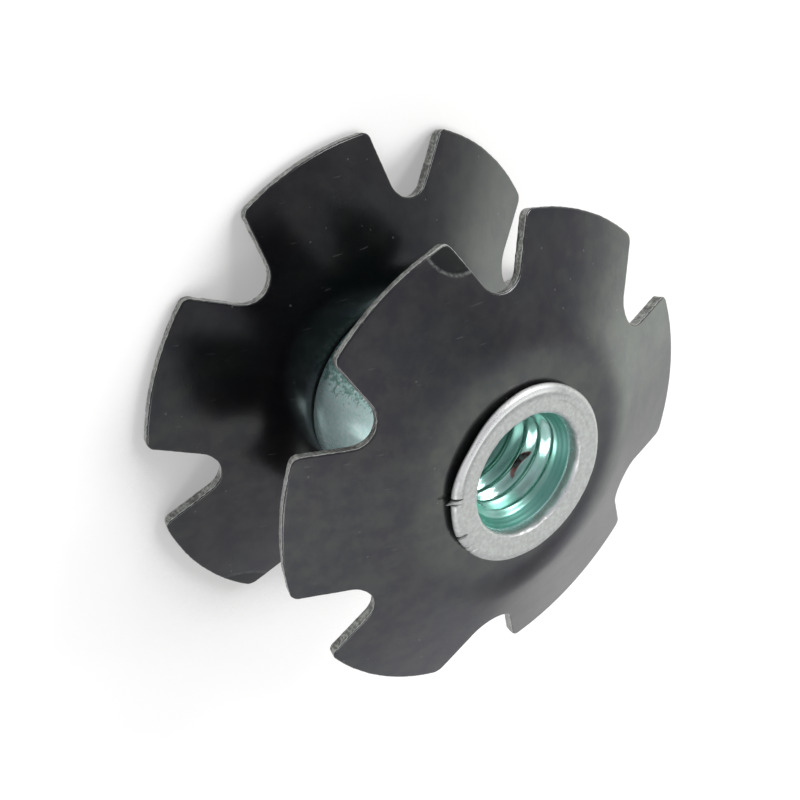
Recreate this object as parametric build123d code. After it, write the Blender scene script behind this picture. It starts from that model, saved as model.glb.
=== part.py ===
from build123d import *
import math
import os

# Star nut: two dished star washers riveted onto one internally threaded sleeve.
# Millimetres, +Z up along the thread. It stands on the tab tips of the rear washer at z = 0,
# with the domed side of both washers up. A tab of the front washer is centred on +X.

# Star washers, two like stampings of spring steel sheet
star_diameter = 26.0
star_sheet = 0.55
tab_count = 6
hub_flat_radius = 5.3
dish_bend_radius = 5.2
tab_flare_angle = 24.3
notch_depth = 3.65
notch_root_radius = 1.35
notch_side_angle = 27.3
notch_corner_radius = 0.55
rear_star_twist = -17.3

# Threaded sleeve: a barrel between the washers, with a neck and a flared lip at each end
barrel_diameter = 9.4
barrel_length = 10.1
barrel_edge_chamfer = 0.15
neck_diameter = 7.9
neck_clearance = 0.05
lip_diameter = 9.7
lip_height = 0.6
lip_seat_width = 0.35
lip_undercut = 0.16
lip_bevel_width = 0.3
lip_bevel_height = 0.2

# Bore: tapped M6 x 1 between two plain mouths; the turns are left out, so its wall is the drill's
thread_wall_radius = 2.5
mouth_radius = 3.25
mouth_depth = 0.65
mouth_edge_chamfer = 0.1
mouth_cone_angle = 45.0

# Sizes that follow from the ones above
star_radius = star_diameter / 2
star_hole_radius = neck_diameter / 2 + neck_clearance
flare = math.radians(tab_flare_angle)
bend_end_radius = hub_flat_radius + dish_bend_radius * math.sin(flare)
bend_drop = dish_bend_radius * (1 - math.cos(flare))
rim_drop = bend_drop + (star_radius - bend_end_radius) * math.tan(flare)
rear_hub_face = rim_drop + star_sheet * math.cos(flare)
front_hub_face = rear_hub_face + barrel_length + star_sheet
neck_length = star_sheet
sleeve_middle = rear_hub_face + barrel_length / 2


def star_section():
    """Half section of the dished sheet, domed side up, with the hub's face at z = 0."""
    tab_length = (star_radius - bend_end_radius) / math.cos(flare)
    with BuildSketch(Plane.XZ) as section:
        with BuildLine():
            hub = Line((star_hole_radius, 0), (hub_flat_radius, 0))
            bend = JernArc(hub @ 1, hub % 1, dish_bend_radius, -tab_flare_angle)
            tab = PolarLine(bend @ 1, tab_length, -tab_flare_angle)
            rim = PolarLine(tab @ 1, star_sheet, -90 - tab_flare_angle)
            under_tab = PolarLine(rim @ 1, tab_length, 180 - tab_flare_angle)
            under_bend = JernArc(
                under_tab @ 1, under_tab % 1, dish_bend_radius - star_sheet, tab_flare_angle
            )
            under_hub = Line(under_bend @ 1, (star_hole_radius, -star_sheet))
            Line(under_hub @ 1, hub @ 0)
        make_face()
    return section.sketch


def notch_cutter():
    """Round-ended, flaring notch, cut square to the sloping tab from the rim on +X."""
    tab_face = Plane(
        origin=(star_radius, 0, -rim_drop),
        x_dir=(math.cos(flare), 0, -math.sin(flare)),
        z_dir=(math.sin(flare), 0, math.cos(flare)),
    )
    side = math.radians(notch_side_angle)
    root_centre = notch_root_radius - notch_depth
    side_start = root_centre - notch_root_radius * math.sin(side)
    side_start_width = notch_root_radius * math.cos(side)
    past_rim = star_sheet
    past_face = 3 * star_sheet
    mouth_width = side_start_width + (past_rim - side_start) * math.tan(side)
    with BuildPart() as cutter:
        with BuildSketch(tab_face):
            with BuildLine():
                left = Line((past_rim, mouth_width), (side_start, side_start_width))
                root = ThreePointArc(
                    left @ 1, (-notch_depth, 0), (side_start, -side_start_width)
                )
                right = Line(root @ 1, (past_rim, -mouth_width))
                Line(right @ 1, left @ 0)
            make_face()
        extrude(amount=past_face, both=True)
    return cutter.part


def star_washer():
    """Dished washer with its notches, their corners rounded where they meet the rim."""
    star = revolve(star_section(), Axis.Z)
    cutter = notch_cutter()
    half_pitch = 180 / tab_count
    for turn in PolarLocations(0, tab_count, start_angle=half_pitch):
        star -= turn * cutter

    def is_tab_corner(edge):
        middle = edge.center()
        near_rim = math.hypot(middle.X, middle.Y) > star_radius - star_sheet
        return near_rim and edge.length < 2 * star_sheet

    return fillet(star.edges().filter_by(is_tab_corner), notch_corner_radius)


def sleeve_section():
    """Half section of the sleeve, about its middle at z = 0; both ends are alike."""
    barrel_radius = barrel_diameter / 2
    neck_radius = neck_diameter / 2
    lip_radius = lip_diameter / 2
    shoulder = barrel_length / 2
    lip_base = shoulder + neck_length
    lip_top = lip_base + lip_height
    mouth_floor = lip_top - mouth_depth
    cone_depth = (mouth_radius - thread_wall_radius) / math.tan(math.radians(mouth_cone_angle))
    with BuildSketch(Plane.XZ) as section:
        with BuildLine():
            Polyline(
                (thread_wall_radius, 0),
                (thread_wall_radius, mouth_floor - cone_depth),
                (mouth_radius, mouth_floor),
                (mouth_radius, lip_top),
                (lip_radius - lip_bevel_width, lip_top),
                (lip_radius, lip_top - lip_bevel_height),
                (lip_radius, lip_base + lip_undercut),
                (neck_radius + lip_seat_width, lip_base),
                (neck_radius, lip_base),
                (neck_radius, shoulder),
                (barrel_radius, shoulder),
                (barrel_radius, 0),
                close=True,
            )
        make_face()
        corners = section.vertices()
        chamfer(corners.sort_by_distance((mouth_radius, lip_top))[0], mouth_edge_chamfer)
        chamfer(corners.sort_by_distance((barrel_radius, shoulder))[0], barrel_edge_chamfer)
        mirror(about=Plane.XZ)
    return section.sketch


def threaded_sleeve():
    """One turned piece: the barrel, its two necks and the lips flared over the washers."""
    return revolve(sleeve_section(), Axis.Z)


def assemble():
    """Every piece by its node name, placed in the star nut's own frame."""
    star = star_washer()
    return {
        "threaded_sleeve": Pos(0, 0, sleeve_middle) * threaded_sleeve(),
        "front_star_washer": Pos(0, 0, front_hub_face) * star,
        "rear_star_washer": Pos(0, 0, rear_hub_face) * Rot(0, 0, rear_star_twist) * star,
    }


os.makedirs("parts", exist_ok=True)
for node, piece in assemble().items():
    export_step(piece, f"parts/{node}.step")
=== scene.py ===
# Looks for the star nut: two dished, black star washers on a zinc-plated, threaded sleeve.
# Sizes are millimetres, as in the part's source, and turn into metres where a mesh is made.
# The floor and the lamps are in metres.
import math

import bmesh
import bpy
import numpy as np
from mathutils import Matrix, Vector, noise


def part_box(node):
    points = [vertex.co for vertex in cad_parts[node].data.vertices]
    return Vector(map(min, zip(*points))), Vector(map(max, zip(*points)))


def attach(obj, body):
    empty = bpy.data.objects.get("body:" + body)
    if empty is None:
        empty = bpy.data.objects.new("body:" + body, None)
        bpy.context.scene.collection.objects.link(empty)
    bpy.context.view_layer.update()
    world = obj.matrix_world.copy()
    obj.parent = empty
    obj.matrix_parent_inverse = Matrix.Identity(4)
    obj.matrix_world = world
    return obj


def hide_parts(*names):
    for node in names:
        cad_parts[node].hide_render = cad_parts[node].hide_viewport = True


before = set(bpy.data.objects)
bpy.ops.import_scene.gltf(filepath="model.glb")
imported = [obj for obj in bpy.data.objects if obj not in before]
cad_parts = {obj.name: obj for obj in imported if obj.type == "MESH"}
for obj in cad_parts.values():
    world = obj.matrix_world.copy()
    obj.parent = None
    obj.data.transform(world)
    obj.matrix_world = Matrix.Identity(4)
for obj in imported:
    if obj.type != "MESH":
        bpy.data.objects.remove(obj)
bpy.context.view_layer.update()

MM = 0.001

# Star washers
star_radius = 13.0
sheet = 0.55
tab_count = 6
hub_hole_radius = 4.0
hub_flat_radius = 4.8
dish_bend_radius = 7.5
flare = math.radians(24.3)
notch_depth = 3.65
notch_root_radius = 1.35
notch_side = math.radians(27.3)
tab_corner_radius = 0.52
rear_star_twist = math.radians(-17.3)
bend_end_radius = hub_flat_radius + dish_bend_radius * math.sin(flare)
die_roll = 0.09
burr_round = 0.05
edge_band = 0.42
tab_grid_radius = 8.4
front_hub_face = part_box("front_star_washer")[1].z / MM
rear_hub_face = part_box("rear_star_washer")[1].z / MM

# Knocks on tab corners, as (centre, reach, fall, light line), in plan before the washer's twist
front_knocks = [((-2.09, 12.99), 1.84, 0.05, 1.0)]
rear_knocks = [((-3.1, -15.68), 3.95, 0.015, 0.25)]

# Shift of the noise that tears a washer's edge, and refraction index of its oxide
front_noise_shift = 0.0
rear_noise_shift = 40.0
front_gloss_index = 1.82
rear_gloss_index = 1.59

# Sleeve, with heights from the face of a washer's hub
barrel_radius = 4.7
barrel_edge = 0.15
neck_radius = 3.95
lip_radius = 4.85
lip_height = 0.6
lip_mouth_flare = 0.24
lip_flare_height = 0.32
lip_foot_radius = 4.3
mouth_radius = 3.30
mouth_depth = 0.65

# Uneven outline of the upper lip, as (azimuth, width, outward), angles in degrees
lip_bulges = [
    (88, 26, 0.115),
    (142, 14, -0.05),
    (168, 14, 0.06),
    (203, 10, 0.06),
    (310, 70, -0.06),
]

# Splits in the upper lip, as (azimuth, half width, depth), and the sliver torn out between two
lip_splits = [
    (205.0, 1.6, 0.3),
    (216.0, 1.2, 0.12),
    (221.0, 1.4, 0.1),
    (175.6, 1.0, 0.42),
    (179.0, 0.8, 0.2),
]
lip_sliver = (177.6, 0.55, 0.4)
sliver_height = 0.33

# Marks on the upper lip's face, in radius and depth, and how far its rim is lifted on one side
groove_radius = 4.36
groove_depth = 0.045
step_radius = 4.12
step_depth = 0.035
coarse_dent = 0.014
fine_dent = 0.007
rim_lift = 0.09

# Thread, M6 x 1, right-handed, and its slightly tapered ends with fine tool marks
pitch = 1.0
crest_radius = 2.5
root_radius = 2.96
crest_flat = 0.05
flank_height = 0.40
thread_phase = 0.15
taper_depth = 0.55
taper_radius = 2.93
lead_in = math.radians(55)
tool_mark_pitch = 0.21
tool_mark_depth = 0.005

# Height from which the bore's rows are closer together, as the camera sees them
close_rows_from = 9.0

# Camera, matched to the photograph; image right, image up and back, in the part's own frame
camera_place = (-150.683, 143.336, 178.300)
camera_right = (0.76073, 0.01443, 0.64891)
camera_up = (0.33489, 0.84768, -0.41145)
camera_back = (-0.55600, 0.53031, 0.64002)
camera_lens = 239.36
camera_sensor = 36.0

# Room light, as (azimuth, elevation, width, change of level), angles in degrees
room_level = 0.72
dimmest_level = 0.05
room_parts = [
    (60, 82, 36, -0.36),
    (136, 20, 75, -0.28),
    (338, 0, 34, 1.0),
    (2, 2, 38, 0.35),
    (257, 57, 38, 0.15),
    (318, 46, 26, 0.46),
    (316, 76, 22, 0.34),
    (318, 13, 26, -0.42),
    (5, 45, 26, -0.20),
]

# Lamps, as (name, azimuth, elevation, width, height, power), which look at the nut's middle
lamp_distance = 0.40
aim_height = 0.007
lamps = [
    ("upper_right_softbox", 50, 42, 0.145, 0.145, 0.62),
    ("lower_left_softbox", 222, 44, 0.13, 0.17, 0.26),
]

# Floor: its own glow, its level in mirrors, and the soft shade on the nut's lower left
floor_half_width = 3.0
floor_drop = 0.00002
floor_glow = 0.7
mirrored_level = 0.95
shade_reach = 0.012
shade_from = 0.94
shade_gain = 2.2
shade_darkest = 0.5
shade_azimuth = 50
shade_elevation = 50

# Colours of the black oxide, its marks and its glossy film
violet_black = (0.0042, 0.0036, 0.0046, 1)
green_black = (0.0026, 0.0042, 0.0040, 1)
cloudy_black = (0.0085, 0.0080, 0.0075, 1)
mark_grey = (0.11, 0.11, 0.11, 1)
knock_grey = (0.13, 0.135, 0.125, 1)
violet_film = (0.77, 0.77, 0.82, 1)
clear_film = (1.0, 1.0, 0.96, 1)
knocked_film = (0.34, 0.38, 0.34, 1)

# Colours of the bare steel at the cut edges, and of the painted highlight along their corners
dark_steel = (0.08, 0.085, 0.075, 1)
pale_steel = (0.34, 0.35, 0.32, 1)
stained_steel = (0.045, 0.045, 0.04, 1)
corner_highlight_steel = (0.62, 0.64, 0.60, 1)

# Colours of the zinc plating outside and in the bore; the duller bore teal is also painted shade deep
# in the bore
satin_teal = (0.58, 0.86, 0.83, 1)
pale_teal = (0.80, 0.98, 0.96, 1)
stained_teal = (0.16, 0.38, 0.31, 1)
fleck_white = (0.95, 1.0, 0.98, 1)
deep_bore_teal = (0.27, 0.58, 0.47, 1)
pale_bore_teal = (0.44, 0.72, 0.64, 1)
streak_teal = (0.62, 0.82, 0.78, 1)
dull_and_shaded_bore_teal = (0.08, 0.30, 0.24, 1)

# Colours of the worn lips and their painted highlight, the painted reflection in the bore, and the
# grime
rubbed_grey = (0.46, 0.46, 0.445, 1)
rubbed_pale = (0.58, 0.59, 0.57, 1)
grain_bright = (0.72, 0.73, 0.71, 1)
burnished_highlight_white = (0.90, 0.90, 0.88, 1)
painted_reflection_pink = (0.34, 0.17, 0.15, 1)
painted_reflection_black = (0.02, 0.010, 0.010, 1)
grime_grey = (0.10, 0.10, 0.09, 1)

# Colours of the floor and tints of the room
floor_white = (0.85, 0.85, 0.85, 1)
floor_seen = (0.41, 0.4, 0.385, 1)
room_violet = (0.98, 0.98, 1.06, 1)
room_green = (0.94, 1.0, 0.94, 1)


# Mesh helpers

def grid_piece(name, points, attributes):
    """One closed, smooth piece from a grid of points that wraps round both ways."""
    rows, columns = points.shape[:2]
    row, column = np.meshgrid(np.arange(rows), np.arange(columns), indexing="ij")
    next_row = (row + 1) % rows
    next_column = (column + 1) % columns
    corners = (
        row * columns + column,
        row * columns + next_column,
        next_row * columns + next_column,
        next_row * columns + column,
    )
    faces = np.stack(corners, axis=-1).reshape(-1, 4)
    mesh = bpy.data.meshes.new(name)
    mesh.from_pydata((points.reshape(-1, 3) * MM).tolist(), [], faces.tolist())
    for label, values in attributes.items():
        layer = mesh.attributes.new(label, "FLOAT", "POINT")
        layer.data.foreach_set("value", values.reshape(-1).astype(np.float32))
    shell = bmesh.new()
    shell.from_mesh(mesh)
    bmesh.ops.recalc_face_normals(shell, faces=shell.faces)
    shell.to_mesh(mesh)
    shell.free()
    mesh.shade_smooth()
    piece = bpy.data.objects.new(name, mesh)
    bpy.context.scene.collection.objects.link(piece)
    return piece


def plan_radius(points):
    """Distance of each point from the thread's axis."""
    return np.hypot(points[..., 0], points[..., 1])


def bearing(points):
    """Angle of each point round the thread's axis, 0 to 360 degrees from +X."""
    return np.degrees(np.arctan2(points[..., 1], points[..., 0])) % 360


def ripple(points, size, shift):
    """Smooth noise of about -1 to 1; size is the length of its bumps, shift picks their pattern."""
    flat = points.reshape(-1, 3) / size + shift
    values = [noise.noise(Vector(place)) for place in flat]
    return np.array(values).reshape(points.shape[:-1])


def ramp(values, low, high):
    """0 below low, 1 above high, and a smooth step between them."""
    share = np.clip((values - low) / (high - low), 0, 1)
    return share * share * (3 - 2 * share)


def arc(angle, start, full, fade, end):
    """1 from full to fade, 0 before start and after end, with smooth steps between them."""
    return ramp(angle, start, full) * (1 - ramp(angle, fade, end))


def bump(values, centre, width):
    """A smooth hill of height 1 round centre."""
    return np.exp(-((values - centre) / width) ** 2)


def peak(values, centre, half_width):
    """A sharp peak of height 1 at centre, with straight sides."""
    return np.clip(1 - np.abs(values - centre) / half_width, 0, 1)


# Star washer shapes

def dish(radius):
    """Height of the domed face at a plan radius, and the slope there."""
    into_bend = np.clip((radius - hub_flat_radius) / dish_bend_radius, 0, math.sin(flare))
    slope = np.arcsin(into_bend)
    past_bend = np.maximum(radius - bend_end_radius, 0)
    height = -dish_bend_radius * (1 - np.cos(slope)) - past_bend * math.tan(flare)
    return height, slope


def on_sheet(plan, depth):
    """Points a given depth below the domed face, square to the sheet."""
    radius = plan_radius(plan)
    height, slope = dish(radius)
    lean = np.sin(slope) / radius
    x = plan[..., 0] * (1 - depth * lean)
    y = plan[..., 1] * (1 - depth * lean)
    z = height - depth * np.cos(slope)
    return np.stack([x, y, z], axis=-1)


def half_notch():
    """Plan of the sheet's edge from a notch's root, on +X, to the middle of the next tab."""
    shrink = math.cos(flare)
    side_run = math.pi / 2 - notch_side
    turn = np.linspace(0, side_run, 15)
    root_centre = notch_root_radius - notch_depth
    root = np.stack([
        star_radius + (root_centre - notch_root_radius * np.cos(turn)) * shrink,
        notch_root_radius * np.sin(turn),
    ], axis=-1)

    lean = math.atan2(math.tan(notch_side), shrink)
    along = np.array([math.cos(lean), math.sin(lean)])
    inward = np.array([-math.sin(lean), math.cos(lean)])
    start = root[-1] + tab_corner_radius * inward
    reach = star_radius - tab_corner_radius
    half_b = start @ along
    run = -half_b + math.sqrt(half_b ** 2 - start @ start + reach ** 2)
    corner_centre = start + run * along
    side = root[-1] + np.outer(np.linspace(0, run, 22)[1:], along)

    first = lean - math.pi / 2
    last = math.atan2(corner_centre[1], corner_centre[0])
    corner_turn = np.linspace(first, last, 10)[1:]
    corner = corner_centre + tab_corner_radius * np.stack(
        [np.cos(corner_turn), np.sin(corner_turn)], axis=-1
    )
    rim_turn = np.linspace(last, math.pi / tab_count, 30)[1:]
    rim = star_radius * np.stack([np.cos(rim_turn), np.sin(rim_turn)], axis=-1)
    return np.concatenate([root, side, corner, rim])


def star_outline():
    """Plan of the whole edge with a tab on +X, and its outward directions."""
    half = half_notch()
    mirrored = half[-2:0:-1] * np.array([1, -1])
    sector = np.concatenate([mirrored, half])
    parts = []
    for index in range(tab_count):
        turn = 2 * math.pi * (index + 0.5) / tab_count
        spin = np.array([[math.cos(turn), math.sin(turn)], [-math.sin(turn), math.cos(turn)]])
        parts.append(sector @ spin)
    outline = np.concatenate(parts)
    along = np.roll(outline, -1, axis=0) - np.roll(outline, 1, axis=0)
    along /= np.linalg.norm(along, axis=1)[:, None]
    outward = np.stack([along[:, 1], -along[:, 0]], axis=-1)
    return outline, outward


def star_rows(outline, outward):
    """Rows of the washer's grid: plan points, depth in the sheet, and a share of bare edge."""
    def inset(distance):
        """The outline moved inward."""
        return outline - distance * outward

    band = inset(edge_band)
    rays = band / np.linalg.norm(band, axis=1)[:, None]
    tab_start = tab_grid_radius * rays
    hub_radii = [hub_hole_radius, 4.4, hub_flat_radius]
    bend_radii = list(np.linspace(hub_flat_radius, bend_end_radius, 9)[1:])
    under_radii = (bend_end_radius, 6.9, 6.35, 5.8, hub_flat_radius, hub_hole_radius)
    tab_shares = np.linspace(0, 1, 16)[:-1]
    under_shares = np.linspace(0, 1, 8)[-3::-2]

    rows = []
    for radius in hub_radii + bend_radii:
        rows.append((radius * rays, 0.0, 0.0))
    for share in tab_shares:
        rows.append((tab_start + share * (band - tab_start), 0.0, 0.0))
    for distance in (edge_band, 0.3, 0.2, 0.13, die_roll):
        rows.append((inset(distance), 0.0, 0.0))
    for turn in (30, 60, 90):
        angle = math.radians(turn)
        place = die_roll * (1 - math.sin(angle))
        depth = die_roll * (1 - math.cos(angle))
        rows.append((inset(place), depth, turn / 90))
    for depth in np.linspace(die_roll, sheet - burr_round, 7)[1:]:
        rows.append((outline, depth, 1.0))
    rows.append((inset(0.3 * burr_round), sheet - 0.3 * burr_round, 0.9))
    for distance in (burr_round, 0.15, edge_band):
        rows.append((inset(distance), sheet, 0.0))
    for share in under_shares:
        rows.append((tab_start + share * (band - tab_start), sheet, 0.0))
    for radius in under_radii:
        rows.append((radius * rays, sheet, 0.0))
    return rows


def roughen_edge(points, bare, outward):
    """Torn, stepped sheet edge: the wall wanders in and out by a few hundredths."""
    coarse = ripple(points, 0.9, 3.1)
    fine = ripple(points, 0.22, 7.7)
    push = bare * (0.02 * coarse + 0.03 * fine - 0.01)
    points[..., 0] += push * outward[:, 0]
    points[..., 1] += push * outward[:, 1]


def press_corner(points, centre, reach, fall):
    """A knock that bends a tab's corner down inside a circle."""
    distance = np.hypot(points[..., 0] - centre[0], points[..., 1] - centre[1])
    inside = np.clip(reach - distance, 0, None)
    points[..., 2] -= fall * inside * ramp(inside, 0, 0.12)


def star_washer(name, node, hub_face, twist, knocks, noise_shift):
    """A dished star washer as a fine closed grid, with rounded and torn edges and its knocks."""
    outline, outward = star_outline()
    rows = star_rows(outline, outward)
    points = np.stack([on_sheet(plan, depth) for plan, depth, share in rows])
    bare = np.stack([np.full(len(outline), share) for plan, depth, share in rows])
    points[..., 2] += noise_shift
    roughen_edge(points, bare, outward)
    points[..., 2] -= noise_shift
    for centre, reach, fall, line_level in knocks:
        press_corner(points, centre, reach, fall)
    cosine = math.cos(twist)
    sine = math.sin(twist)
    turned = points.copy()
    turned[..., 0] = cosine * points[..., 0] - sine * points[..., 1]
    turned[..., 1] = sine * points[..., 0] + cosine * points[..., 1]
    turned[..., 2] += hub_face
    piece = grid_piece(name, turned, {"bare": bare})
    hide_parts(node)
    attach(piece, "root")
    return piece


# Threaded sleeve shapes

def sleeve_columns():
    """Angles of the sleeve's columns, closer together where the upper lip has split."""
    plain = np.arange(0, 360, 1.5)
    close = np.concatenate([
        np.arange(173, 182, 0.2),
        np.arange(200, 207, 0.25),
        np.arange(213, 225, 0.4),
    ])
    return np.radians(np.unique(np.round(np.concatenate([plain, close]), 3)))


def lip_profile():
    """Flared lip as (radius, height, wear) from the mouth's floor to the neck."""
    mouth_floor = lip_height - mouth_depth
    flare_start = lip_height - lip_flare_height
    face_radii = (3.6, 3.7, 3.82, 3.95, 4.05, 4.12, 4.18, 4.24, 4.29, 4.33, 4.37, 4.41)
    shoulder = ((4.47, 0.597), (4.54, 0.587), (4.61, 0.57), (4.68, 0.54), (4.74, 0.5))
    rim = ((4.79, 0.45), (4.83, 0.39), (lip_radius, 0.32), (4.83, 0.25))
    underside = ((4.74, 0.16), (4.56, 0.08), (lip_foot_radius, 0.02))

    rows = [
        (mouth_radius, mouth_floor, 0.2),
        (mouth_radius, mouth_floor + 0.1, 0.45),
        (mouth_radius, flare_start - 0.04, 0.6),
    ]
    for turn in (0, 12, 25, 38, 50, 62, 74, 84, 90):
        angle = math.radians(turn)
        radius = mouth_radius + lip_mouth_flare * (1 - math.cos(angle))
        height = flare_start + lip_flare_height * math.sin(angle)
        rows.append((radius, height, 0.7 + 0.3 * min(1, turn / 60)))
    for radius in face_radii:
        rows.append((radius, lip_height, 1.0))
    for radius, height in shoulder + rim:
        rows.append((radius, height, 1.0))
    for radius, height in underside:
        rows.append((radius, height, 0.6))
    rows.append((neck_radius, 0.0, 0.3))
    return rows


def thread_radius(angle, height):
    """Bore radius along the thread's turns, with soft crests and roots."""
    phase = (height / pitch - angle / (2 * math.pi) - thread_phase) % 1.0
    off_crest = np.abs(phase - 0.5) * pitch
    share = np.clip((off_crest - crest_flat) / flank_height, 0, 1)
    soft = share - 0.2 * np.sin(2 * math.pi * share) / (2 * math.pi)
    return crest_radius + (root_radius - crest_radius) * soft


def sleeve_rows():
    """Sleeve profile from the upper mouth's floor, over both lips, and back up the bore."""
    rows = []
    for radius, height, rub_and_highlight in lip_profile():
        rows.append((radius, front_hub_face + height, rub_and_highlight, 0.0))
    top = front_hub_face - sheet
    bottom = rear_hub_face
    rows.append((neck_radius, top, 0.2, 0.0))
    rows.append((barrel_radius - barrel_edge, top, 0.2, 0.0))
    for height in np.linspace(top - barrel_edge, bottom + barrel_edge, 16):
        rows.append((barrel_radius, height, 0.0, 0.0))
    rows.append((barrel_radius - barrel_edge, bottom, 0.2, 0.0))
    rows.append((neck_radius, bottom, 0.2, 0.0))
    for radius, height, rub_and_highlight in reversed(lip_profile()):
        rows.append((radius, rear_hub_face - sheet - height, rub_and_highlight, 0.0))
    low = rear_hub_face - sheet - lip_height + mouth_depth
    high = front_hub_face + lip_height - mouth_depth
    levels = np.concatenate([
        np.linspace(low, close_rows_from, 62)[1:],
        np.linspace(close_rows_from, high, 96)[1:-1],
    ])
    for height in levels:
        rows.append((None, height, 0.0, 1.0))
    return rows, low, high


def bore_points(angles, height, low, high):
    """One row of the bore: the thread, opened to the mouths by a slight taper and a short cone."""
    depth = min(height - low, high - height)
    taper = mouth_radius - min(depth / taper_depth, 1) * (mouth_radius - taper_radius)
    cone = taper - max(depth - taper_depth, 0) * math.tan(lead_in)
    cone += tool_mark_depth * math.sin(2 * math.pi * height / tool_mark_pitch)
    return np.maximum(thread_radius(angles, height), cone)


def mark_lip_face(points, angle, radius, on_face):
    """Dents, a groove and a step on the upper lip's face; gives the grime that lies in them."""
    groove_middle = groove_radius + 0.03 * ripple(points, 1.2, 21.3)
    groove = bump(radius, groove_middle, 0.075) * arc(angle, 40, 75, 170, 190)
    step_arc = arc(angle, 10, 25, 60, 72)
    step = ramp(radius, 4.06, 4.2) * step_arc * (1 - ramp(radius, 4.4, 4.6))
    dents = coarse_dent * ripple(points, 0.7, 1.7) + fine_dent * ripple(points, 0.2, 5.3)
    points[..., 2] += on_face * (dents - groove_depth * groove - step_depth * step)
    step_line = bump(radius, step_radius, 0.05) * step_arc
    patchy = 0.55 + 0.6 * ripple(points, 0.5, 13.9)
    return on_face * np.clip(patchy, 0.1, 1) * (0.5 * groove + 0.5 * step_line)


def tear_lip_rim(points, angle, radius, height, on_lip):
    """Splits, a sliver, bulges and a lifted side of the upper rim; gives its scale and grime."""
    pull = np.zeros_like(radius)
    for centre, half_width, depth in lip_splits:
        pull += depth * peak(angle, centre, half_width)
    centre, half_width, reach = lip_sliver
    sliver = reach * peak(angle, centre, half_width) * bump(height, sliver_height, 0.12)
    waves = 0.02 * ripple(points * np.array([1, 1, 0]), 1.3, 9.1)
    spread = np.zeros_like(radius)
    for centre, width, outward in lip_bulges:
        spread += outward * bump((angle - centre + 180) % 360, 180, width)
    rim = ramp(radius, 4.3, 4.7) * on_lip
    scale = 1 + rim * (sliver + waves + spread - pull) / radius
    lifted = rim_lift * bump(angle, 141, 22) * (1 - ramp(height, 0.35, 0.5))
    points[..., 2] += rim * lifted
    return scale, rim * ramp(pull, 0.05, 0.3)


def rub_and_highlight_upper_lip(rub_and_highlight, angle, radius, height, on_lip):
    """As the camera sees it: plated mouth top, worn mouth lower right, burnished rim upper left with
    a painted highlight.
    """
    in_mouth = (1 - ramp(radius, 3.3, 3.6)) * ramp(height, -0.04, 0.02)
    mouth_top = bump(angle, 80, 35)
    mouth_lower_right = arc(angle, 280, 300, 345, 360)
    rub_and_highlight = rub_and_highlight - 0.75 * in_mouth * mouth_top + 0.6 * in_mouth * mouth_lower_right
    # Painted highlight: the rim's upper left is raised above 1.1, which the material shows near white
    # and a little smoother, as a burnish.
    burnish_and_highlight = arc(angle, 55, 85, 140, 190) * ramp(radius, 4.42, 4.55)
    return rub_and_highlight + 0.5 * on_lip * burnish_and_highlight


def wear_upper_lip(points, rub_and_highlight):
    """Damages the lip nearer the camera; gives its wear with the painted highlight on the rim, and
    how much grime it holds.
    """
    angle = bearing(points)
    radius = plan_radius(points)
    height = points[..., 2] - front_hub_face
    on_lip = ramp(height, 0.0, 0.12) * ramp(radius, 3.3, 3.45)
    on_face = on_lip * ramp(height, 0.3, 0.5)
    face_grime = mark_lip_face(points, angle, radius, on_face)
    scale, rim_grime = tear_lip_rim(points, angle, radius, height, on_lip)

    flared = (1 - ramp(radius, 3.5, 3.7)) * ramp(height, 0.08, 0.2)
    unevenness = 0.02 * ripple(points, 0.9, 31.7) + 0.035 * ripple(points, 0.3, 35.1)
    scale += flared * unevenness / radius
    points[..., 0] *= scale
    points[..., 1] *= scale
    rub_and_highlight = rub_and_highlight_upper_lip(rub_and_highlight, angle, radius, height, on_lip)
    return rub_and_highlight, np.maximum(face_grime, rim_grime)


def sleeve_marks(points, bore):
    """A painted reflection, dark reddish, on one turn of the bore; how duller and darker the bore is,
    with painted shade deep in it; and how stained the barrel is, 0 to 1.
    """
    angle = bearing(points)
    height = points[..., 2]
    # Painted reflection: a dark reddish spot on one turn of the bore, standing in for something dark
    # that the wall mirrors.
    painted_reflection_height = 11.62 + 0.45 * ((angle - 318) / 25) ** 2
    along = 1 - ramp(np.abs(angle - 320), 10, 24)
    painted_reflection = bore * np.clip(1.5 * along * bump(height, painted_reflection_height, 0.13), 0, 1)
    painted_reflection *= 0.6 + 0.4 * ramp(angle, 308, 324)

    # Painted shade: the bore darker and duller deep down, on the side round 350 degrees.
    deep_shade = (1 - ramp(height, 10.6, 11.6)) * bump((angle + 180) % 360, 170, 55)
    # A darker, duller patch at the thread's start and bands just below the mouth.
    first_turn = bump(height, 12.85, 0.4) * ramp(angle, 225, 240) * (1 - ramp(angle, 285, 305))
    mouth_band = 0.5 * ramp(height, 13.1, 13.25) + 0.4 * ramp(height, 13.48, 13.55)
    dull_and_deep_shade = bore * np.maximum(np.maximum(0.8 * deep_shade, first_turn), mouth_band)

    barrel_top = front_hub_face - sheet
    on_barrel = ramp(plan_radius(points), 4.6, 4.65) * (1 - bore)
    on_barrel *= 1 - ramp(height, barrel_top - 0.2, barrel_top - 0.1)
    wander = angle + 16 * ripple(points, 2.4, 43.7)
    stain = on_barrel * ramp(wander, 85, 130) * (1 - ramp(angle, 146, 172))
    return painted_reflection, np.maximum(dull_and_deep_shade, stain)


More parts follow.
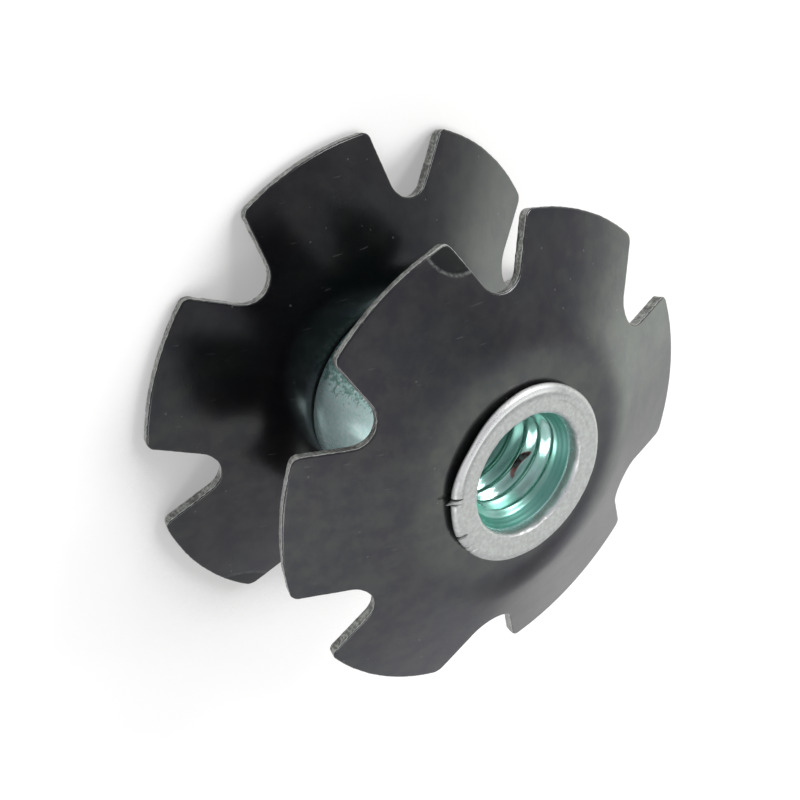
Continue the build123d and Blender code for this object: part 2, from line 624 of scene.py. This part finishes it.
def threaded_sleeve():
    """The sleeve as one closed grid: barrel, necks, both flared lips and the tapped bore."""
    angles = sleeve_columns()
    rows, low, high = sleeve_rows()
    points = []
    rub_and_highlight = []
    bore = []
    for radius, height, wear, inside in rows:
        reach = bore_points(angles, height, low, high) if radius is None else radius
        ring = np.stack([
            reach * np.cos(angles),
            reach * np.sin(angles),
            np.full(len(angles), height),
        ], axis=-1)
        points.append(ring)
        rub_and_highlight.append(np.full(len(angles), wear))
        bore.append(np.full(len(angles), inside))
    points = np.stack(points)
    bore = np.stack(bore)
    rub_and_highlight, grime = wear_upper_lip(points, np.stack(rub_and_highlight))
    painted_reflection, dull_and_deep_shade = sleeve_marks(points, bore)
    attributes = {"rub_and_highlight": rub_and_highlight, "bore": bore, "grime": grime, "painted_reflection": painted_reflection, "dull_and_deep_shade": dull_and_deep_shade}
    piece = grid_piece("plated_sleeve", points, attributes)
    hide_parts("threaded_sleeve")
    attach(piece, "root")
    return piece


# Material helpers

def new_material(name):
    """An empty node material with its shader, and a mapping that gives millimetres."""
    material = bpy.data.materials.new(name)
    material.use_nodes = True
    tree = material.node_tree
    tree.nodes.clear()
    shader = tree.nodes.new("ShaderNodeBsdfPrincipled")
    output = tree.nodes.new("ShaderNodeOutputMaterial")
    tree.links.new(shader.outputs["BSDF"], output.inputs["Surface"])
    place = tree.nodes.new("ShaderNodeTexCoord")
    mapping = tree.nodes.new("ShaderNodeMapping")
    mapping.inputs["Scale"].default_value = (1 / MM, 1 / MM, 1 / MM)
    tree.links.new(place.outputs["Object"], mapping.inputs["Vector"])
    return material, tree, shader, mapping.outputs["Vector"]


def feed(tree, socket, value):
    """Sets a socket to a number or colour, or links it to another node's output."""
    if isinstance(value, bpy.types.NodeSocket):
        tree.links.new(value, socket)
    else:
        socket.default_value = value


def noise_texture(tree, place, scale, detail, roughness, stretch=(1, 1, 1)):
    """Noise of about 0 to 1; scale is bumps per millimetre."""
    mapping = tree.nodes.new("ShaderNodeMapping")
    mapping.inputs["Scale"].default_value = stretch
    tree.links.new(place, mapping.inputs["Vector"])
    texture = tree.nodes.new("ShaderNodeTexNoise")
    texture.inputs["Scale"].default_value = scale
    texture.inputs["Detail"].default_value = detail
    texture.inputs["Roughness"].default_value = roughness
    tree.links.new(mapping.outputs["Vector"], texture.inputs["Vector"])
    return texture.outputs["Fac"]


def speckle(tree, place, scale, size):
    """1 inside scattered small round specks, 0 elsewhere."""
    texture = tree.nodes.new("ShaderNodeTexVoronoi")
    texture.inputs["Scale"].default_value = scale
    texture.inputs["Randomness"].default_value = 1.0
    tree.links.new(place, texture.inputs["Vector"])
    return remap(tree, texture.outputs["Distance"], size, size * 0.5)


def remap(tree, value, low, high, to_low=0.0, to_high=1.0):
    """A smooth step from low to high, given as to_low to to_high."""
    step = tree.nodes.new("ShaderNodeMapRange")
    step.interpolation_type = "SMOOTHSTEP"
    step.inputs["From Min"].default_value = low
    step.inputs["From Max"].default_value = high
    step.inputs["To Min"].default_value = to_low
    step.inputs["To Max"].default_value = to_high
    tree.links.new(value, step.inputs["Value"])
    return step.outputs["Result"]


def calc(tree, operation, first, second, clamp=False):
    """One step of arithmetic on sockets or numbers."""
    step = tree.nodes.new("ShaderNodeMath")
    step.operation = operation
    step.use_clamp = clamp
    feed(tree, step.inputs[0], first)
    feed(tree, step.inputs[1], second)
    return step.outputs["Value"]


def blend_colour(tree, share, first, second):
    """Mix of two colours by a share of the second."""
    mix = tree.nodes.new("ShaderNodeMix")
    mix.data_type = "RGBA"
    feed(tree, mix.inputs["Factor"], share)
    feed(tree, mix.inputs["A"], first)
    feed(tree, mix.inputs["B"], second)
    return mix.outputs["Result"]


def blend_value(tree, share, first, second):
    """Mix of two numbers by a share of the second."""
    mix = tree.nodes.new("ShaderNodeMix")
    feed(tree, mix.inputs["Factor"], share)
    feed(tree, mix.inputs["A"], first)
    feed(tree, mix.inputs["B"], second)
    return mix.outputs["Result"]


def surface_value(tree, label):
    """A number stored on the mesh's points."""
    layer = tree.nodes.new("ShaderNodeAttribute")
    layer.attribute_name = label
    return layer.outputs["Fac"]


def add_bump(tree, shader, height, strength, distance):
    """Fine relief on the shader's normal; distance in millimetres."""
    relief = tree.nodes.new("ShaderNodeBump")
    relief.inputs["Strength"].default_value = strength
    relief.inputs["Distance"].default_value = distance * MM
    tree.links.new(height, relief.inputs["Height"])
    tree.links.new(relief.outputs["Normal"], shader.inputs["Normal"])


# Black oxide of the washers

def knock_marks(tree, place, twist, knocks):
    """Light line round each knock, and 1 inside it; place is turned back by the washer's twist."""
    back = tree.nodes.new("ShaderNodeVectorRotate")
    back.rotation_type = "Z_AXIS"
    back.inputs["Angle"].default_value = -twist
    tree.links.new(place, back.inputs["Vector"])
    flat = tree.nodes.new("ShaderNodeVectorMath")
    flat.operation = "MULTIPLY"
    flat.inputs[1].default_value = (1, 1, 0)
    tree.links.new(back.outputs["Vector"], flat.inputs[0])
    line = 0.0
    inside = 0.0
    for centre, reach, fall, line_level in knocks:
        distance = tree.nodes.new("ShaderNodeVectorMath")
        distance.operation = "DISTANCE"
        distance.inputs[1].default_value = (centre[0], centre[1], 0)
        tree.links.new(flat.outputs["Vector"], distance.inputs[0])
        away = calc(tree, "SUBTRACT", distance.outputs["Value"], reach + 0.05)
        away = calc(tree, "ABSOLUTE", away, 0.0)
        line = calc(tree, "MAXIMUM", remap(tree, away, 0.0, 0.14, line_level, 0.0), line)
        within = remap(tree, distance.outputs["Value"], reach - 0.1, reach, 1.0, 0.0)
        inside = calc(tree, "MAXIMUM", within, inside)
    return line, inside


def oxide_skin(tree, place, clouds, knock_line):
    """Colour of the oxide: violet and green blacks, with clouds, scratches, dust and knocks."""
    tints = noise_texture(tree, place, 0.16, 2.0, 0.5)
    skin = blend_colour(tree, remap(tree, tints, 0.4, 0.6), violet_black, green_black)
    cloudy = remap(tree, clouds, 0.5, 0.75, 0.0, 0.6)
    skin = blend_colour(tree, cloudy, skin, cloudy_black)
    scratch_field = noise_texture(tree, place, 2.2, 2.0, 0.5, (0.25, 3.0, 1.0))
    scratches = remap(tree, scratch_field, 0.70, 0.76, 0.0, 0.5)
    dust = speckle(tree, place, 0.9, 0.07)
    marks = calc(tree, "MAXIMUM", scratches, dust)
    skin = blend_colour(tree, calc(tree, "MULTIPLY", marks, 0.55), skin, mark_grey)
    flaked = noise_texture(tree, place, 5.0, 4.0, 0.7)
    flaked_line = calc(tree, "MULTIPLY", knock_line, remap(tree, flaked, 0.35, 0.6, 0.1, 1.0))
    return blend_colour(tree, flaked_line, skin, knock_grey)


def cut_steel(tree, place, bare):
    """Colour of the bare steel: grained and stained, with a painted highlight along the corner of the
    cut.
    """
    grain = noise_texture(tree, place, 7.0, 3.0, 0.7)
    stain = noise_texture(tree, place, 1.6, 4.0, 0.6)
    steel = blend_colour(tree, remap(tree, grain, 0.35, 0.65), dark_steel, pale_steel)
    stained = remap(tree, stain, 0.45, 0.65, 0.0, 0.75)
    steel = blend_colour(tree, stained, steel, stained_steel)
    # Painted highlight: a lighter line along the two corners of the cut, where bare goes from 0 to 1.
    corner = calc(tree, "MULTIPLY", bare, calc(tree, "SUBTRACT", 1.0, bare))
    on_corner_highlight = remap(tree, corner, 0.06, 0.2, 0.0, 0.75)
    return blend_colour(tree, on_corner_highlight, steel, corner_highlight_steel)


def oxide_film(tree, place, knocked):
    """Tint of the oxide's shine, from violet to clear, and dim inside a knock."""
    sheen = noise_texture(tree, place, 0.9, 6.0, 0.65)
    film = blend_colour(tree, remap(tree, sheen, 0.35, 0.65), violet_film, clear_film)
    return blend_colour(tree, calc(tree, "MULTIPLY", knocked, 0.85), film, knocked_film)


def shown_steel(tree, place, bare, knocked):
    """How much bare steel shows: along the cut edges, with chips, and more inside a knock."""
    chips = noise_texture(tree, place, 3.2, 4.0, 0.65)
    scuff = calc(tree, "MULTIPLY", calc(tree, "SUBTRACT", chips, 0.5), 0.9)
    torn = calc(tree, "ADD", bare, scuff)
    chipped = calc(tree, "MULTIPLY", knocked, remap(tree, bare, 0.0, 0.3, 0.0, 0.4))
    return remap(tree, calc(tree, "ADD", torn, chipped), 0.5, 0.8)


def black_oxide(name, gloss_index, twist, knocks):
    """Satin black oxide with cloudy tints, dust and scratches; bare steel along the cut edges."""
    material, tree, shader, place = new_material(name)
    bare = surface_value(tree, "bare")
    clouds = noise_texture(tree, place, 0.35, 4.0, 0.55)
    grain = noise_texture(tree, place, 9.0, 3.0, 0.6)
    knock_line, knocked = knock_marks(tree, place, twist, knocks)
    skin = oxide_skin(tree, place, clouds, knock_line)
    steel = cut_steel(tree, place, bare)
    shown = shown_steel(tree, place, bare, knocked)
    tree.links.new(blend_colour(tree, shown, skin, steel), shader.inputs["Base Color"])
    tree.links.new(calc(tree, "MULTIPLY", shown, 0.5), shader.inputs["Metallic"])
    tree.links.new(oxide_film(tree, place, knocked), shader.inputs["Specular Tint"])
    face_rough = remap(tree, clouds, 0.3, 0.7, 0.17, 0.22)
    rough = calc(tree, "ADD", face_rough, calc(tree, "MULTIPLY", shown, 0.15))
    tree.links.new(rough, shader.inputs["Roughness"])
    shader.inputs["IOR"].default_value = gloss_index
    add_bump(tree, shader, grain, 0.25, 0.012)
    return material


# Zinc plating of the sleeve

def satin_zinc(tree, place, mottle, dull_and_deep_shade):
    """Colour of the plating outside: mottled teal, with a stain and white flecks in it."""
    satin = blend_colour(tree, remap(tree, mottle, 0.35, 0.65), satin_teal, pale_teal)
    blotch = calc(tree, "ADD", mottle, calc(tree, "MULTIPLY", dull_and_deep_shade, 0.25))
    stain = remap(tree, blotch, 0.64, 0.8, 0.0, 0.85)
    satin = blend_colour(tree, stain, satin, stained_teal)
    flecks = calc(tree, "MULTIPLY", speckle(tree, place, 3.0, 0.3), dull_and_deep_shade)
    return blend_colour(tree, flecks, satin, fleck_white)


def bore_zinc(tree, place, dull_and_deep_shade):
    """Colour of the plating in the bore: streaked along the turns, darker where duller, and painted
    shade deep in the bore.
    """
    drift = noise_texture(tree, place, 0.6, 2.0, 0.5)
    gloss = blend_colour(tree, remap(tree, drift, 0.35, 0.65), deep_bore_teal, pale_bore_teal)
    streaks = noise_texture(tree, place, 1.6, 4.0, 0.6, (0.35, 0.35, 4.0))
    streaked = remap(tree, streaks, 0.35, 0.65, 0.0, 0.45)
    gloss = blend_colour(tree, streaked, gloss, streak_teal)
    return blend_colour(tree, calc(tree, "MULTIPLY", dull_and_deep_shade, 0.85), gloss, dull_and_shaded_bore_teal)


def rubbed_zinc_and_highlight(tree, mottle, grain, polish_and_highlight):
    """Grey of the worn lips, brighter in the grain, and near white where the rim is burnished: a
    painted highlight on a smoother burnish.
    """
    grey = blend_colour(tree, remap(tree, mottle, 0.35, 0.7), rubbed_grey, rubbed_pale)
    grainy = remap(tree, grain, 0.55, 0.75, 0.0, 0.4)
    grey = blend_colour(tree, grainy, grey, grain_bright)
    return blend_colour(tree, calc(tree, "MULTIPLY", polish_and_highlight, 0.85), grey, burnished_highlight_white)


def painted_reflection_and_grime(tree, mottle, colour):
    """The sleeve's colour with a painted reflection, dark reddish, on one turn of the bore, and grime
    in the lip's marks.
    """
    painted_reflection = surface_value(tree, "painted_reflection")
    painted_reflection_colour = blend_colour(tree, remap(tree, painted_reflection, 0.6, 0.8), painted_reflection_pink, painted_reflection_black)
    painted_reflection_spread = remap(tree, painted_reflection, 0.4, 0.62)
    painted_reflection_share = calc(tree, "MULTIPLY", painted_reflection_spread, remap(tree, mottle, 0.3, 0.6, 0.8, 1.0))
    colour = blend_colour(tree, painted_reflection_share, colour, painted_reflection_colour)
    grime_share = calc(tree, "MULTIPLY", surface_value(tree, "grime"), 0.8)
    return blend_colour(tree, grime_share, colour, grime_grey)


def zinc_plate():
    """Teal zinc plating, glossy in the bore and satin outside, worn grey on the lips; painted
    highlight on the upper rim, painted reflection and shade in the bore.
    """
    material, tree, shader, place = new_material("teal_zinc_plate")
    rub_and_highlight = surface_value(tree, "rub_and_highlight")
    bore = surface_value(tree, "bore")
    dull_and_deep_shade = surface_value(tree, "dull_and_deep_shade")
    mottle = noise_texture(tree, place, 4.5, 5.0, 0.65)
    grain = noise_texture(tree, place, 15.0, 3.0, 0.6)
    patches = calc(tree, "MULTIPLY", calc(tree, "SUBTRACT", mottle, 0.5), 0.8)
    worn = remap(tree, calc(tree, "ADD", rub_and_highlight, patches), 0.35, 0.65)
    # Painted highlight: the burnished band on the rim's upper left, near white in colour and a little
    # smoother.
    polish_and_highlight = remap(tree, rub_and_highlight, 1.1, 1.5)

    outside = satin_zinc(tree, place, mottle, dull_and_deep_shade)
    teal = blend_colour(tree, bore, outside, bore_zinc(tree, place, dull_and_deep_shade))
    grey = rubbed_zinc_and_highlight(tree, mottle, grain, polish_and_highlight)
    colour = painted_reflection_and_grime(tree, mottle, blend_colour(tree, worn, teal, grey))
    tree.links.new(colour, shader.inputs["Base Color"])
    tree.links.new(remap(tree, bore, 0.0, 1.0, 0.7, 0.8), shader.inputs["Metallic"])

    plated_rough = remap(tree, bore, 0.0, 1.0, 0.2, 0.15)
    plated_rough = calc(tree, "ADD", plated_rough, calc(tree, "MULTIPLY", dull_and_deep_shade, 0.25))
    worn_rough = remap(tree, grain, 0.3, 0.7, 0.36, 0.5)
    worn_rough = calc(tree, "SUBTRACT", worn_rough, calc(tree, "MULTIPLY", polish_and_highlight, 0.1))
    rough = blend_value(tree, worn, plated_rough, worn_rough)
    tree.links.new(rough, shader.inputs["Roughness"])
    relief_depth = calc(tree, "ADD", 0.08, calc(tree, "MULTIPLY", worn, 0.9))
    add_bump(tree, shader, calc(tree, "MULTIPLY", grain, relief_depth), 0.4, 0.02)
    return material


# Stage

def direction(azimuth, elevation):
    """Unit vector from an azimuth and an elevation in degrees."""
    turn = math.radians(azimuth)
    rise = math.radians(elevation)
    return Vector((math.cos(rise) * math.cos(turn), math.cos(rise) * math.sin(turn), math.sin(rise)))


def matt(tree, colour):
    """A matt shader of one colour."""
    shader = tree.nodes.new("ShaderNodeBsdfDiffuse")
    shader.inputs["Color"].default_value = colour
    return shader.outputs["BSDF"]


def glowing(tree, strength):
    """A shader that gives white light of its own."""
    shader = tree.nodes.new("ShaderNodeEmission")
    feed(tree, shader.inputs["Strength"], strength)
    return shader.outputs["Emission"]


def blend_shader(tree, share, first, second):
    """Mix of two shaders by a share of the second."""
    mix = tree.nodes.new("ShaderNodeMixShader")
    tree.links.new(share, mix.inputs["Fac"])
    tree.links.new(first, mix.inputs[1])
    tree.links.new(second, mix.inputs[2])
    return mix.outputs["Shader"]


def shaded_glow(tree):
    """The floor's own glow, dimmed close to the nut on the side away from shade_azimuth."""
    shade = tree.nodes.new("ShaderNodeAmbientOcclusion")
    shade.inputs["Distance"].default_value = shade_reach
    shade.samples = 16
    leaning = tree.nodes.new("ShaderNodeCombineXYZ")
    for axis, share in zip("XYZ", direction(shade_azimuth, shade_elevation)):
        leaning.inputs[axis].default_value = share
    tree.links.new(leaning.outputs["Vector"], shade.inputs["Normal"])
    hidden = calc(tree, "SUBTRACT", shade_from, shade.outputs["AO"], True)
    hidden = calc(tree, "MULTIPLY", hidden, shade_gain)
    dimmed = calc(tree, "MAXIMUM", calc(tree, "SUBTRACT", 1.0, hidden), shade_darkest)
    return calc(tree, "MULTIPLY", dimmed, floor_glow)


def floor_material():
    """White with soft shade to the camera, even light in mirrors, and plain matt otherwise."""
    material = bpy.data.materials.new("pale_floor")
    material.use_nodes = True
    tree = material.node_tree
    tree.nodes.clear()
    output = tree.nodes.new("ShaderNodeOutputMaterial")
    path = tree.nodes.new("ShaderNodeLightPath")
    seen = tree.nodes.new("ShaderNodeAddShader")
    tree.links.new(matt(tree, floor_seen), seen.inputs[0])
    tree.links.new(glowing(tree, shaded_glow(tree)), seen.inputs[1])
    to_camera = path.outputs["Is Camera Ray"]
    surface = blend_shader(tree, to_camera, matt(tree, floor_white), seen.outputs["Shader"])
    glossy = path.outputs["Is Glossy Ray"]
    in_mirrors = calc(tree, "MAXIMUM", glossy, path.outputs["Is Transmission Ray"])
    surface = blend_shader(tree, in_mirrors, surface, glowing(tree, mirrored_level))
    tree.links.new(surface, output.inputs["Surface"])
    return material


def pale_floor():
    """A wide floor that reads as white and keeps the nut's soft shadow."""
    half = floor_half_width
    mesh = bpy.data.meshes.new("pale_floor")
    corners = [(-half, -half, 0), (half, -half, 0), (half, half, 0), (-half, half, 0)]
    mesh.from_pydata(corners, [], [(0, 1, 2, 3)])
    mesh.materials.append(floor_material())
    floor = bpy.data.objects.new("pale_floor", mesh)
    bpy.context.scene.collection.objects.link(floor)
    floor.location.z = -floor_drop


def studio_world():
    """Pale room: an even level with wide, soft brighter and dimmer parts."""
    world = bpy.data.worlds.new("studio")
    bpy.context.scene.world = world
    world.use_nodes = True
    tree = world.node_tree
    tree.nodes.clear()
    output = tree.nodes.new("ShaderNodeOutputWorld")
    place = tree.nodes.new("ShaderNodeTexCoord")
    strength = room_level
    for azimuth, elevation, width, change in room_parts:
        towards = tree.nodes.new("ShaderNodeVectorMath")
        towards.operation = "DOT_PRODUCT"
        towards.inputs[1].default_value = direction(azimuth, elevation)
        tree.links.new(place.outputs["Generated"], towards.inputs[0])
        edge = math.cos(math.radians(width))
        part = remap(tree, towards.outputs["Value"], edge, 1.0, 0.0, change)
        strength = calc(tree, "ADD", part, strength)
    background = tree.nodes.new("ShaderNodeBackground")
    tint = blend_colour(tree, remap(tree, strength, 0.6, 1.3), room_violet, room_green)
    level = calc(tree, "MAXIMUM", strength, dimmest_level)
    tree.links.new(tint, background.inputs["Color"])
    tree.links.new(level, background.inputs["Strength"])
    tree.links.new(background.outputs["Background"], output.inputs["Surface"])


def softbox(name, azimuth, elevation, width, height, power):
    """A rectangular area lamp that looks at the nut."""
    lamp = bpy.data.lights.new(name, "AREA")
    lamp.shape = "RECTANGLE"
    lamp.size = width
    lamp.size_y = height
    lamp.energy = power
    box = bpy.data.objects.new(name, lamp)
    bpy.context.scene.collection.objects.link(box)
    towards = direction(azimuth, elevation)
    box.location = towards * lamp_distance + Vector((0, 0, aim_height))
    box.rotation_euler = towards.to_track_quat("Z", "Y").to_euler()


def photo_camera():
    """Camera at the photograph's place, turn and lens."""
    lens = bpy.data.cameras.new("photo_camera")
    lens.lens = camera_lens
    lens.sensor_width = camera_sensor
    lens.clip_start = 0.01
    lens.clip_end = 20.0
    camera = bpy.data.objects.new("photo_camera", lens)
    bpy.context.scene.collection.objects.link(camera)
    turn = Matrix((camera_right, camera_up, camera_back)).transposed()
    camera.matrix_world = Matrix.Translation(Vector(camera_place) * MM) @ turn.to_4x4()
    bpy.context.scene.camera = camera


photo_camera()
studio_world()
pale_floor()
for lamp_values in lamps:
    softbox(*lamp_values)

front_star = star_washer(
    "front_star", "front_star_washer", front_hub_face, 0.0, front_knocks, front_noise_shift
)
rear_star = star_washer(
    "rear_star", "rear_star_washer", rear_hub_face, rear_star_twist, rear_knocks, rear_noise_shift
)
front_oxide = black_oxide("front_black_oxide", front_gloss_index, 0.0, front_knocks)
rear_oxide = black_oxide("rear_black_oxide", rear_gloss_index, rear_star_twist, rear_knocks)
front_star.data.materials.append(front_oxide)
rear_star.data.materials.append(rear_oxide)
sleeve = threaded_sleeve()
sleeve.data.materials.append(zinc_plate())

bpy.context.scene.view_settings.view_transform = "Standard"

bpy.context.view_layer.update()
